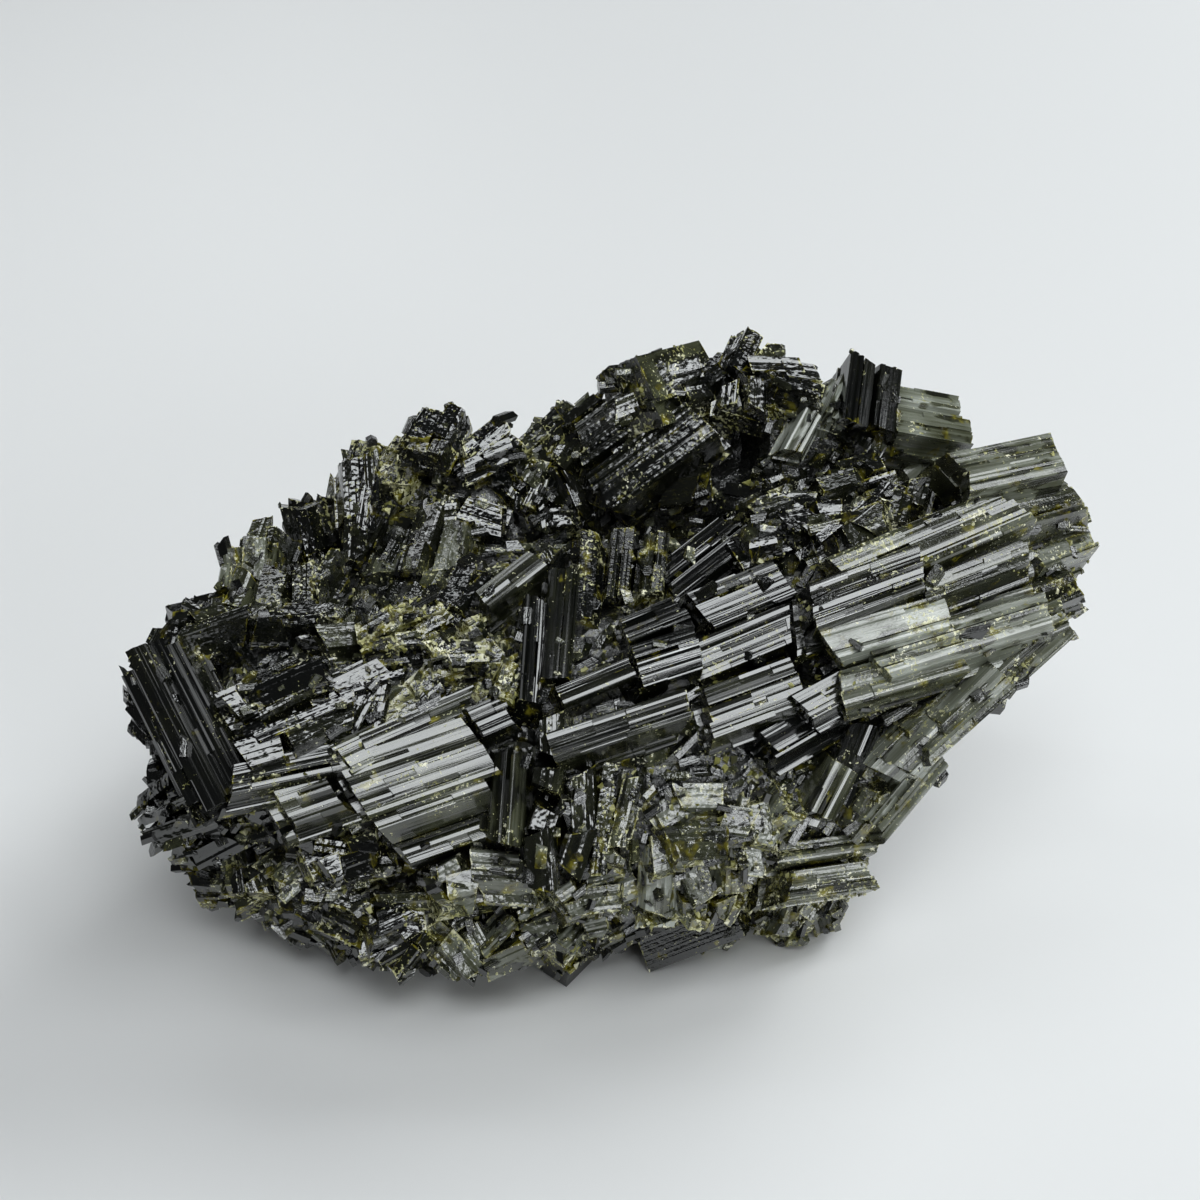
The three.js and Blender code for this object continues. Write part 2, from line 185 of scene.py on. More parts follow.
# Broad faces of the show prisms lie between the skin below them and a common tilt, like stairs. Those that
# run up to the right grew parallel and keep closest to it.
STAIR_TILT = np.array([0.14, -0.53, 0.83])
STAIR_SHARE = 0.4
PARALLEL_SHARE = 0.8
PARALLEL_ANGLES = (8, 32)

# Show prisms that differ from their neighbours, by where they are across and up.
LEFT_BLADE = (-61, -10)
BLADE_FINE = 0.6
BLADE_STEPPED = 2.5
RIDGE_MASS = (7, 34)
# These glassy columns get the palest tone as a painted highlight that stands in for their glints.
GLINT_PAINTED_COLUMNS = [(36, 39), (30, 34)]
CREAM_KNOBS = [(-36, 28), (-30, 29)]
FOOT_BAR = (32, -31)

# Looks of the other show prisms by zone: from and to across, from and to up, and the value there. The first
# zone that holds a prism counts. A tone is its least, the span above that, and the power of the chance in it.
FAR = 99
TONE_ZONES = [
    (-FAR, -58, -FAR, FAR, (0.0, 0.05, 1)),
    (-36, -20, -20, -9, (0.4, 0.1, 1)),
    (42, FAR, 26, FAR, (0.55, 0.2, 1)),
    (60, FAR, -FAR, FAR, (0.35, 0.3, 1)),
    (36, FAR, 7, 18, (0.25, 0.25, 1)),
    (-FAR, 46, 17, FAR, (0.02, 0.2, 2)),
    (38, FAR, -16, 8, (0.55, 0.4, 1)),
    (-12, 10, -2, 16, (0.02, 0.25, 2)),
    (5, FAR, -FAR, -18, (0.48, 0.47, 1)),
    (-FAR, -20, -FAR, -26, (0.1, 0.5, 1)),
    (-FAR, FAR, -FAR, -26, (0.45, 0.5, 1)),
    (-FAR, -16, 8, FAR, (0.1, 0.6, 2)),
    (-FAR, FAR, -FAR, FAR, (0.05, 0.4, 2)),
]
RUBBLE_ZONES = [
    (-FAR, -52, -FAR, 12, 0.7),
    (42, FAR, 26, FAR, 0.1),
    (-12, 46, 17, 28, 0.7),
    (-FAR, -16, 8, FAR, 0.55),
    (-FAR, FAR, 27, FAR, 0.75),
    (8, FAR, -FAR, -20, 0.9),
    (-FAR, FAR, -FAR, -27, 0.8),
    (-35, -14, -7, 10, 0.8),
    (-52, -33, -10, 6, 0.5),
    (60, FAR, -FAR, FAR, 0.44),
    (-FAR, FAR, -FAR, FAR, 0.1),
]
SPECK_ZONES = [
    (-6, 10, 6, 16, 0.6),
    (-12, 46, 17, FAR, 0.2),
    (-FAR, FAR, 24, FAR, 0.3),
    (-FAR, -16, 8, FAR, 0.3),
    (-35, -14, -7, 10, 1.0),
    (0, FAR, -FAR, -20, 0.7),
    (-FAR, FAR, -FAR, -27, 0.5),
    (60, FAR, -FAR, FAR, 0.55),
    (40, FAR, -FAR, FAR, 0.4),
    (-FAR, -52, -FAR, FAR, 0.0),
    (-FAR, FAR, -FAR, FAR, 0.15),
]

# Prisms of the back and the underside, spread evenly and set by rule.
HIDDEN_TRIES = 76
HIDDEN_FACING = -0.12
HIDDEN_LENGTH = (15, 27)
HIDDEN_WIDTH = (8, 15)
HIDDEN_THICKNESS = (8, 11)
HIDDEN_LOOK = {"rubble": 0.3, "specks": 0.4, "plain": 0.1, "fine": 1.3, "stepped": 1.0}
HEART_MIDDLE = np.array([0.0, 2.0, 34.0])
GOLDEN_ANGLE = math.pi * (3 - math.sqrt(5))

# Shape of one prism: a broad outer face between sloping sides, sunk in the heart, and two slanted ends.
SHOULDER = (0.5, 0.8)
END_SLOPE = 0.35
PART_OVERLAP = 1.3
SUNK_SHARE = 0.1

# Striation of the prisms: each is a bundle of rods, and each rod has fine strips along it. A rod may lie
# deeper than its neighbours, end short of them, and lose chips over a stretch.
ROD_WIDTH = 3.0
ROD_SUNK = 0.7
ROD_SHORT = 0.12
ROD_OVERLAP = 0.03
SLAB_OVERLAP = 0.4
TERRACE_CHANGE = 0.3
STRIP = 0.5
WALL_STRIP = 1.1
STRETCH = 5.0
RIM = 0.35

# Where the growth is broken to rubble, rods fall into chunks that sit at different depths.
BROKEN = 0.45
CHUNK = (4.5, 9.5)
CHUNK_WIDTH = 4.6
CHUNK_SUNK = 2.0
CHUNK_TURN = 0.42

# The heart lies a little deeper than the skin that the prisms are set on, and is one mesh of even cells.
GAP_DEPTH = 2.4
LUMP_DETAIL = 4
HEART_CELL = 1.5


def chance(a, b):
    """A repeatable number from 0 to 1 for two numbers."""
    wave = math.sin(a * 127.1 + b * 311.7) * 43758.5453
    return wave - math.floor(wave)


def between(limits, share):
    return limits[0] + (limits[1] - limits[0]) * share


def unit(vector):
    return vector / np.linalg.norm(vector)


RIGHT = np.array([1.0, 0.0, 0.0])
UP = np.array([0.0, math.sin(SHOW_ELEVATION), math.cos(SHOW_ELEVATION)])
TOWARD = np.array([0.0, -math.cos(SHOW_ELEVATION), math.sin(SHOW_ELEVATION)])
EYE = SHOW_MIDDLE + TOWARD * EYE_DISTANCE


def skin_on(start, direction):
    """The first point where a line meets the heart, with the skin's outward direction there.

    A line that passes outside finds the skin of lumps that are grown until it meets them.
    """
    for grown in range(0, 42, 2):
        nearest = math.inf
        normal = None
        for _, middle, radii in HEART_LUMPS:
            size = np.array(radii) + grown
            start_in = (start - middle) / size
            along = direction / size
            a = along @ along
            b = start_in @ along
            inside = b * b - a * (start_in @ start_in - 1)
            if inside < 0:
                continue
            reach = (-b - math.sqrt(inside)) / a
            if reach >= nearest:
                continue
            nearest = reach
            normal = unit((start + direction * reach - middle) / size / size)
        if normal is not None:
            return start + direction * nearest, normal
    raise ValueError("a prism is placed far outside the heart")


def set_on_skin(flat, normal, rise):
    """The axis, side and face directions of a prism that lies along flat on the skin and lifts by rise."""
    axis = unit(flat - normal * (flat @ normal))
    lifted = axis * math.cos(rise) + normal * math.sin(rise)
    face = normal * math.cos(rise) - axis * math.sin(rise)
    return lifted, np.cross(lifted, face), face


def show_crystals():
    """The prisms of the show face, from their rows in the list."""
    found = []
    for across, high, angle, rise, length, width, thickness, parts in SHOW_PRISMS:
        sight = unit(SHOW_MIDDLE + RIGHT * across + UP * high - EYE)
        point, normal = skin_on(EYE, sight)
        seen = RIGHT * math.cos(math.radians(angle)) + UP * math.sin(math.radians(angle))
        parallel = PARALLEL_ANGLES[0] <= angle <= PARALLEL_ANGLES[1]
        stair = unit(normal + (STAIR_TILT - normal) * (PARALLEL_SHARE if parallel else STAIR_SHARE))
        slide = max(-1.0, min(1.0, -(seen @ stair) / (sight @ stair)))
        axis, side, face = set_on_skin(seen + sight * slide, stair, math.radians(rise))
        rubble = show_rubble(across, high, angle)
        blade = (across, high) == LEFT_BLADE
        found.append({
            "point": point, "axis": axis, "side": side, "face": face, "length": length, "width": width,
            "thickness": thickness, "parts": parts, "seed": 1000 + 2 * across + 151 * high,
            "tone": show_tone(across, high), "rubble": rubble, "specks": show_specks(across, high),
            "plain": show_plain(across, high, rubble), "fine": BLADE_FINE if blade else 1.0,
            "stepped": BLADE_STEPPED if blade else 1.0,
        })
    return found


def zone_value(zones, across, high):
    """What the first zone that holds a place on the show plane says."""
    for left, right, bottom, top, value in zones:
        if left < across < right and bottom < high < top:
            return value
    raise ValueError("no zone holds this place")


def show_tone(across, high):
    """How pale a prism of the show face is: 0 nearly black, 0.5 olive, 1 weathered grey-green; the glassy
    columns get 1 as a painted highlight.
    """
    # Painted highlight: the glassy columns are made pale for their glints.
    if (across, high) in GLINT_PAINTED_COLUMNS:
        return 1.0
    least, span, power = zone_value(TONE_ZONES, across, high)
    return least + span * chance(across, high + 60) ** power


def show_rubble(across, high, angle):
    """How broken a prism of the show face is: 0 a sound block, 1 loose chunks."""
    if abs(across) < 14 and 70 < angle < 110:
        return 0.2 if high > -5 else 0.5
    if (across, high) in (RIDGE_MASS, LEFT_BLADE, FOOT_BAR):
        return 0.1
    if 26 < across < 42 and high > 27:
        return 0.3 if angle > 50 else 0.8
    return zone_value(RUBBLE_ZONES, across, high)


def show_specks(across, high):
    """How thickly specks and grains lie on a prism of the show face."""
    if (across, high) in CREAM_KNOBS:
        return 1.0
    return zone_value(SPECK_ZONES, across, high)


def show_plain(across, high, rubble):
    """How far a prism of the show face is without striation: 0 fully striated, 1 smooth."""
    if (across, high) == RIDGE_MASS:
        return 0.2
    return 0.5 if rubble >= BROKEN else 0.0


def hidden_crystals():
    """The prisms of the back and the underside: neighbours lie nearly parallel, as they grew."""
    found = []
    for i in range(HIDDEN_TRIES):
        height = 1 - (2 * (i + 0.5)) / HIDDEN_TRIES
        round_share = math.sqrt(1 - height * height)
        turned = i * GOLDEN_ANGLE
        out = np.array([round_share * math.cos(turned), round_share * math.sin(turned), height])
        point, normal = skin_on(HEART_MIDDLE + out * EYE_DISTANCE, -out)
        if normal @ unit(EYE - point) > HIDDEN_FACING:
            continue
        level = unit(np.array([-normal[1], normal[0], 0.001]))
        steep = np.cross(normal, level)
        turn = math.radians(25 + 50 * math.sin(point[0] / 22) + 40 * (chance(i, 21) - 0.5))
        rise = math.radians(20 * (chance(i, 22) - 0.5))
        axis, side, face = set_on_skin(level * math.cos(turn) + steep * math.sin(turn), normal, rise)
        found.append({
            "point": point, "axis": axis, "side": side, "face": face,
            "length": between(HIDDEN_LENGTH, chance(i, 23)),
            "width": between(HIDDEN_WIDTH, chance(i, 24)),
            "thickness": between(HIDDEN_THICKNESS, chance(i, 25)),
            "parts": 2 if chance(i, 26) > 0.6 else 1,
            "seed": 40000 + i,
            "tone": 0.03 + 0.5 * chance(i, 27) ** 2,
            **HIDDEN_LOOK,
        })
    return found


class Shells:
    """Gathers closed shells with their attributes for one mesh."""

    def __init__(self):
        self.points = []
        self.faces = []
        self.count = 0
        self.columns = {}

    def add(self, points, faces, **columns):
        self.points.append(points)
        self.faces.extend([tuple(corner + self.count for corner in face) for face in faces])
        for name, values in columns.items():
            self.columns.setdefault(name, []).append(values)
        self.count += len(points)

    def mesh(self, name):
        made = bpy.data.meshes.new(name)
        points = (np.concatenate(self.points) + ORIGIN_SHIFT) * MM
        made.from_pydata(points.tolist(), [], self.faces)
        for column, values in self.columns.items():
            joined = np.concatenate(values)
            store(made, column, joined, "vector" if joined.ndim == 2 else "value")
        return made


def store(mesh, name, values, field="value"):
    """Keeps a number or a vector for each point of a mesh."""
    kind = "FLOAT_VECTOR" if field == "vector" else "FLOAT"
    attribute = mesh.attributes.new(name, kind, "POINT")
    attribute.data.foreach_set(field, values.astype(np.float32).ravel())


def outer_height(across, width, thickness, left, right):
    """Height of a prism's section above its middle: a level top between two sloping sides."""
    if across > right:
        return thickness / 2 - thickness * (across - right) / (width / 2 - right)
    if across < -left:
        return thickness / 2 - thickness * (-across - left) / (width / 2 - left)
    return thickness / 2


def rod_section(start, end, floor, outline, sunk, key, ceiling=math.inf):
    """One rod's section, counter-clockwise: points, outward directions, room to move and how low they are."""
    def height(across):
        return max(floor + 0.6, min(outer_height(across, *outline) - sunk, ceiling))

    def wall(across, way):
        rise = height(across) - floor
        strips = max(1, round(rise / WALL_STRIP))
        for i in range(strips):
            share = (i + 0.6 * (chance(key, 20 + i + way) - 0.5) * (i > 0)) / strips
            yield (across, floor + rise * share), (way, 0.0), rise / strips * (i > 0), 1 - share

    arc = math.hypot(end - start, height(end) - height(start))
    strips = max(2, round(arc / STRIP))
    top = []
    for i in range(strips + 1):
        share = (i + 0.7 * (chance(key, 40 + i) - 0.5) * (0 < i < strips)) / strips
        across = end + (start - end) * share
        lean = (0.0, 1.0) if 0 < i < strips else (0.7 if i == 0 else -0.7, 0.7)
        top.append(((across, height(across)), lean, arc / strips, 0.0))
    rows = list(wall(end, 1.0)) + top + list(wall(start, -1.0))[::-1]
    points, outward, room, low = (np.array(column, float) for column in zip(*rows))
    return points, outward, room * 0.5, low


def add_rod(shells, pose, section, length, slopes, tone, crystal, key):
    """Adds one closed rod: strips along its sides, stretches that break off, and two flat broken ends."""
    middle, basis = pose
    loop, loop_out, room, low_share = section
    corner = (np.abs(np.abs(loop_out[:, 0]) - 0.7) < 0.01).astype(float)
    around = len(loop)
    low = -length[0] + loop @ slopes[0]
    high = length[1] + loop @ slopes[1]
    run = length[0] + length[1]
    breaks = max(1, round(run / STRETCH))
    rim = min(RIM / run, 0.2)
    rings = [(0.0, 0), (rim, 0)]
    for i in range(1, breaks):
        share = (i + 0.8 * (chance(key, 90 + i) - 0.5)) / breaks
        rings += [(share - 0.05 / run, i - 1), (share + 0.05 / run, i)]
    rings += [(1 - rim, breaks - 1), (1.0, breaks - 1)]
    points = np.concatenate([np.column_stack([loop, low + (high - low) * share]) for share, _ in rings])
    faces = [tuple(range(around))[::-1]]
    for ring in range(len(rings) - 1):
        for j in range(around):
            a, b, k = ring * around, (ring + 1) * around, (j + 1) % around
            faces.append((a + j, a + k, b + k, b + j))
    faces.append(tuple(range((len(rings) - 1) * around, len(rings) * around)))
    count = len(rings)
    end = np.repeat([1.0] + [0.0] * (count - 2) + [1.0], around)
    walk = np.concatenate([[0], np.cumsum(np.linalg.norm(np.diff(loop, axis=0), axis=1))])
    shells.add(
        middle + points @ basis, faces,
        outward=np.tile(np.column_stack([loop_out, np.zeros(around)]), (count, 1)) @ basis,
        strip=np.tile(np.arange(around, dtype=float), count),
        crystal=np.full(len(points), float(key % 997)),
        stretch=np.repeat([float(index) for _, index in rings], around),
        room=np.tile(room * (1 - 0.8 * crystal["plain"]), count),
        plain=np.full(len(points), crystal["plain"]),
        tone=np.full(len(points), tone),
        end=end,
        edge=np.maximum(np.tile(corner, count), end) * min(1.0, 0.2 + 5 * crystal["specks"]),
        crust=np.clip(0.4 * np.tile(low_share, count) + crystal["specks"] - 0.1, 0.0, 1.0),
        rubble=np.full(len(points), crystal["rubble"]),
        grow=np.tile(-basis[2], (len(points), 1)),
        along=points[:, 2] + 40 * chance(key, 14),
        around=np.tile(walk, count) + 30 * chance(key, 15),
    )


def add_chunks(shells, pose, strip, sunk, ends, tone, crystal, rod_key):
    """Adds one rod of broken growth: chunks that sit at different depths, each turned a little."""
    middle, basis = pose
    rubble = crystal["rubble"]
    at = -ends[0]
    piece = 0
    while at < ends[1] - 1.0:
        key = rod_key * 13 + piece
        reach = min(at + between(CHUNK, chance(key, 61)) * (1.6 - rubble), ends[1])
        deep = sunk + CHUNK_SUNK * rubble * chance(key, 62) ** 1.6
        slants = np.array([chance(key, 63 + i) for i in range(4)]).reshape(2, 2)
        shade = tone + 0.3 * (chance(key, 67) - 0.4)
        ways = np.array([chance(key, 70 + way) for way in range(3)])
        turn = CHUNK_TURN * rubble * (2 * ways - 1)
        turned = np.array([unit(row + np.cross(turn, row)) for row in basis])
        centre = middle + basis[2] * (at + reach) / 2
        half = (reach - at) / 2
        section = rod_section(*strip, deep, key)
        add_rod(shells, (centre, turned), section, (half, half), 1.1 * (slants - 0.5), shade, crystal, key)
        at = reach
        piece += 1


def add_prism(shells, crystal, part):
    """Adds one prism of a crystal: parallel rods that end unevenly, over a plain lower slab."""
    key = crystal["seed"] * 10 + part
    parts = crystal["parts"]
    length = crystal["length"] * (0.85 + 0.3 * chance(key, 1))
    thickness = crystal["thickness"] * (0.85 + 0.3 * chance(key, 2))
    width = crystal["width"] / parts * PART_OVERLAP if parts > 1 else crystal["width"]
    axis, side, face = crystal["axis"], crystal["side"], crystal["face"]
    middle = (
        crystal["point"]
        + side * ((part - (parts - 1) / 2) * (crystal["width"] / parts))
        + axis * (crystal["length"] * 0.12 * (chance(key, 3) - 0.5))
        + face * (crystal["thickness"] * (0.2 * (chance(key, 4) - 0.5) - SUNK_SHARE))
    )
    pose = middle, np.array([side, face, -axis])
    left = between(SHOULDER, chance(key, 5)) * width / 2
    right = between(SHOULDER, chance(key, 10)) * width / 2
    outline = width, thickness, left, right
    slopes = END_SLOPE * (2 * np.array([
        [chance(key, 8), chance(key, 9)], [chance(key, 6), chance(key, 7)],
    ]) - 1)
    broken = crystal["rubble"] >= BROKEN
    rod_width = CHUNK_WIDTH if broken else ROD_WIDTH
    rods = max(1, round(width / (rod_width * crystal["fine"])))
    shares = [(i + 0.6 * (chance(key, 30 + i) - 0.5) * (0 < i < rods)) / rods for i in range(rods + 1)]
    edges = [width * (share - 0.5) for share in shares]
    shelf = thickness * (0.3 * chance(key, 16) - 0.25)
    terrace = key
    for i in range(rods):
        rod_key = key * 17 + i
        if chance(rod_key, 50) < TERRACE_CHANGE * crystal["stepped"]:
            terrace = rod_key
        sunk = ROD_SUNK * crystal["stepped"] * chance(terrace, 51) ** 2 + 0.12 * chance(rod_key, 57)
        ends = []
        for end in (0, 1):
            short = length * ROD_SHORT * chance(terrace, 52 + end) ** 2.5
            ends.append(length / 2 - short - 0.5 * chance(rod_key, 58 + end))
        strip = edges[i] - ROD_OVERLAP, edges[i + 1] + ROD_OVERLAP, shelf - SLAB_OVERLAP, outline
        tone = crystal["tone"] + 0.22 * (chance(rod_key, 54) - 0.5)
        if broken:
            add_chunks(shells, pose, strip, sunk, ends, tone, crystal, rod_key)
            continue
        section = rod_section(*strip, sunk, rod_key)
        own = slopes + 0.16 * (np.array([[chance(rod_key, 55), 0.5], [chance(rod_key, 56), 0.5]]) - 0.5)
        add_rod(shells, pose, section, ends, own, tone, crystal, rod_key)
    # The lower slab fills the section under the rods and shows as a ledge at their ends.
    half = width / 2 - 0.1
    under = rod_section(-half, half, -thickness / 2, outline, 0.15, key, shelf)
    add_rod(shells, pose, under, (length / 2, length / 2), slopes, crystal["tone"], crystal, key * 17 + 16)


# Node trees

def node(tree, kind, settings=None, **inputs):
    """Adds a node, sets its properties, and feeds its sockets from values or other sockets."""
    made = tree.nodes.new(kind)
    for name, value in (settings or {}).items():
        setattr(made, name, value)
    for name, value in inputs.items():
        key = int(name[1:]) if name[0] == "i" and name[1:].isdigit() else name.replace("_", " ")
        feed(tree, made.inputs[key], value)
    return made


def feed(tree, socket, value):
    if isinstance(value, bpy.types.NodeSocket):
        tree.links.new(value, socket)
    else:
        socket.default_value = value


def math_node(tree, operation, a, b=0.0, c=0.0):
    return node(tree, "ShaderNodeMath", {"operation": operation}, i0=a, i1=b, i2=c).outputs[0]


def times(tree, a, b):
    return math_node(tree, "MULTIPLY", a, b)


def times_plus(tree, a, b, c):
    return math_node(tree, "MULTIPLY_ADD", a, b, c)


def vector_of(tree, **parts):
    return node(tree, "ShaderNodeCombineXYZ", **parts).outputs[0]


def vector_math(tree, operation, **inputs):
    return node(tree, "ShaderNodeVectorMath", {"operation": operation}, **inputs).outputs[0]


def moved_points(tree, geometry, offset):
    return node(tree, "GeometryNodeSetPosition", Geometry=geometry, Offset=offset).outputs[0]


def close_tree(tree, end, geometry, stone):
    """Ends a tree: instances become real, and the material is set."""
    real = node(tree, "GeometryNodeRealizeInstances", Geometry=geometry).outputs[0]
    faced = node(tree, "GeometryNodeSetMaterial", Geometry=real, Material=stone).outputs[0]
    tree.links.new(faced, end.inputs[0])


def geometry_tree(name, *numbers, **others):
    """A new Geometry Nodes tree with its named inputs, a geometry in and out, and a material."""
    tree = bpy.data.node_groups.new(name, "GeometryNodeTree")
    kinds = {"Geometry": "Geometry", **dict.fromkeys(numbers, "Float"), **others, "Stone": "Material"}
    for label, kind in kinds.items():
        tree.interface.new_socket(label, in_out="INPUT", socket_type="NodeSocket" + kind)
    tree.interface.new_socket("Geometry", in_out="OUTPUT", socket_type="NodeSocketGeometry")
    return tree, tree.nodes.new("NodeGroupInput").outputs, tree.nodes.new("NodeGroupOutput")


def named(tree, attribute, kind="FLOAT"):
    return node(tree, "GeometryNodeInputNamedAttribute", {"data_type": kind}, Name=attribute).outputs[0]


def dice(tree, a, b, c):
    """A random number from 0 to 1 that is the same for the same three numbers."""
    place = vector_of(tree, X=a, Y=b, Z=c)
    return node(tree, "ShaderNodeTexWhiteNoise", {"noise_dimensions": "3D"}, Vector=place).outputs["Value"]


def run_tree(piece, tree, **values):
    """Runs a tree on a piece with the given input values, and keeps the result as a plain mesh."""
    modifier = piece.modifiers.new(tree.name, "NODES")
    modifier.node_group = tree
    for item in tree.interface.items_tree:
        key = item.name.replace(" ", "_")
        if item.in_out == "INPUT" and key in values:
            modifier[item.identifier] = values[key]
    modifier.show_viewport = True
    bpy.context.view_layer.update()
    depsgraph = bpy.context.evaluated_depsgraph_get()
    made = bpy.data.meshes.new_from_object(piece.evaluated_get(depsgraph), depsgraph=depsgraph)
    piece.modifiers.remove(modifier)
    return made


def striation_tree():
    """Moves the points of plain rods in and out: strips, deep slots and chipped stretches."""
    tree, sizes, end = geometry_tree(
        "striation", "Groove", "Slot depth", "Slot share", "Step depth", "Step share")
    strip, crystal, stretch = (named(tree, name) for name in ("strip", "crystal", "stretch"))
    room = named(tree, "room")
    outward = named(tree, "outward", "FLOAT_VECTOR")
    sway = math_node(tree, "SUBTRACT", dice(tree, strip, crystal, 1.0), 0.5)
    groove = times(tree, sway, sizes["Groove"])
    in_slot = math_node(tree, "LESS_THAN", dice(tree, strip, crystal, 2.0), sizes["Slot share"])
    slot = times(tree, in_slot, sizes["Slot depth"])
    pair = math_node(tree, "FLOOR", times(tree, strip, 0.5))
    stage = math_node(tree, "ADD", stretch, 10.0)
    off = math_node(tree, "LESS_THAN", dice(tree, pair, crystal, stage), sizes["Step share"])
    depth = times(tree, dice(tree, pair, stage, crystal), sizes["Step depth"])
    step = times(tree, off, depth)
    move = math_node(tree, "SUBTRACT", math_node(tree, "SUBTRACT", groove, slot), step)
    reach = times(tree, times(tree, move, room), MM)
    offset = vector_math(tree, "SCALE", i0=outward, Scale=reach)
    close_tree(tree, end, moved_points(tree, sizes["Geometry"], offset), sizes["Stone"])
    return tree


def roughen_tree():
    """Breaks up a smooth mass into uneven facets."""
    tree, sizes, end = geometry_tree("broken_heart", "Cell", "Depth")
    scale = math_node(tree, "DIVIDE", 1.0, sizes["Cell"])
    cells = node(
        tree, "ShaderNodeTexVoronoi", {"feature": "F1", "distance": "CHEBYCHEV"}, Scale=scale,
    ).outputs["Distance"]
    lift = times(tree, math_node(tree, "SUBTRACT", 0.45, cells), sizes["Depth"])
    normal = node(tree, "GeometryNodeInputNormal").outputs[0]
    offset = vector_math(tree, "SCALE", i0=normal, Scale=lift)
    close_tree(tree, end, moved_points(tree, sizes["Geometry"], offset), sizes["Stone"])
    return tree


def random_number(tree, low, high, seed):
    made = node(tree, "FunctionNodeRandomValue", {"data_type": "FLOAT"}, Seed=seed)
    feed(tree, made.inputs[2], low)
    feed(tree, made.inputs[3], high)
    return made.outputs[1]


def random_vector(tree, reach, seed):
    made = node(tree, "FunctionNodeRandomValue", {"data_type": "FLOAT_VECTOR"}, Seed=seed)
    made.inputs[0].default_value = (-reach,) * 3
    made.inputs[1].default_value = (reach,) * 3
    return made.outputs[0]


# Points for small things, in metres: the most to a square metre, and from where to where above each one a
# prism that covers it is looked for.
POINT_DENSITY = 4.0e6
COVER_START = 0.0001
COVER_REACH = 0.004


def open_points(tree, sizes, density):
    """Points spread over a surface, kept only where no prism covers them, and their normals."""
    spread = node(
        tree, "GeometryNodeDistributePointsOnFaces", {"distribute_method": "POISSON"},
        Mesh=sizes["Geometry"], Distance_Min=sizes["Spacing"], Density_Max=POINT_DENSITY,
        Density_Factor=density, Seed=sizes["Seed"],
    )
    kept = node(
        tree, "GeometryNodeStoreNamedAttribute", {"data_type": "FLOAT_VECTOR", "domain": "POINT"},
        Geometry=spread.outputs["Points"], Name="skin", Value=spread.outputs["Normal"],
    ).outputs[0]
    skin = named(tree, "skin", "FLOAT_VECTOR")
    place = node(tree, "GeometryNodeInputPosition").outputs[0]
    lifted = vector_math(tree, "MULTIPLY_ADD", i0=skin, i1=(COVER_START,) * 3, i2=place)
    cover = node(tree, "GeometryNodeObjectInfo", Object=sizes["Cover"]).outputs["Geometry"]
    met = node(
        tree, "GeometryNodeRaycast", Target_Geometry=cover, Source_Position=lifted, Ray_Direction=skin,
        Ray_Length=COVER_REACH,
    ).outputs["Is Hit"]
    left = node(
        tree, "GeometryNodeDeleteGeometry", {"domain": "POINT"}, Geometry=kept, Selection=met,
    ).outputs[0]
    return left, skin


def finished(tree, instances, end, stone, attributes):
    """Gives each instance its attributes, makes it real and sets its material."""
    made = instances
    for name, value in attributes.items():
        made = node(
            tree, "GeometryNodeStoreNamedAttribute", {"data_type": "FLOAT", "domain": "INSTANCE"},
            Geometry=made, Name=name, Value=value,
        ).outputs[0]
    close_tree(tree, end, made, stone)


# The four kinds of small crystal: the number of sides, and how the far end slants.
SMALL_SHAPES = [(6, 0.35, 0.1), (5, -0.5, 0.3), (4, 0.6, -0.2), (6, -0.2, -0.45)]


def small_shape(tree, sides, tilt, twist):
    """A short prism of size 1 with a slanted far end, and a coordinate around it for its streaks."""
    tube = node(tree, "GeometryNodeMeshCylinder", {"fill_type": "NGON"}, Vertices=sides, Side_Segments=1,
                Radius=0.5, Depth=1.0).outputs["Mesh"]
    place = node(tree, "GeometryNodeInputPosition").outputs[0]
    x, y, z = node(tree, "ShaderNodeSeparateXYZ", Vector=place).outputs
    slant = math_node(tree, "ADD", times(tree, x, tilt), times(tree, y, twist))
    far = math_node(tree, "GREATER_THAN", z, 0.0)
    cut = moved_points(tree, tube, vector_of(tree, Z=times(tree, slant, far)))
    return node(tree, "GeometryNodeStoreNamedAttribute", {"data_type": "FLOAT", "domain": "POINT"},
                Geometry=cut, Name="around", Value=times_plus(tree, x, 3.1, times(tree, y, 2.3))).outputs[0]


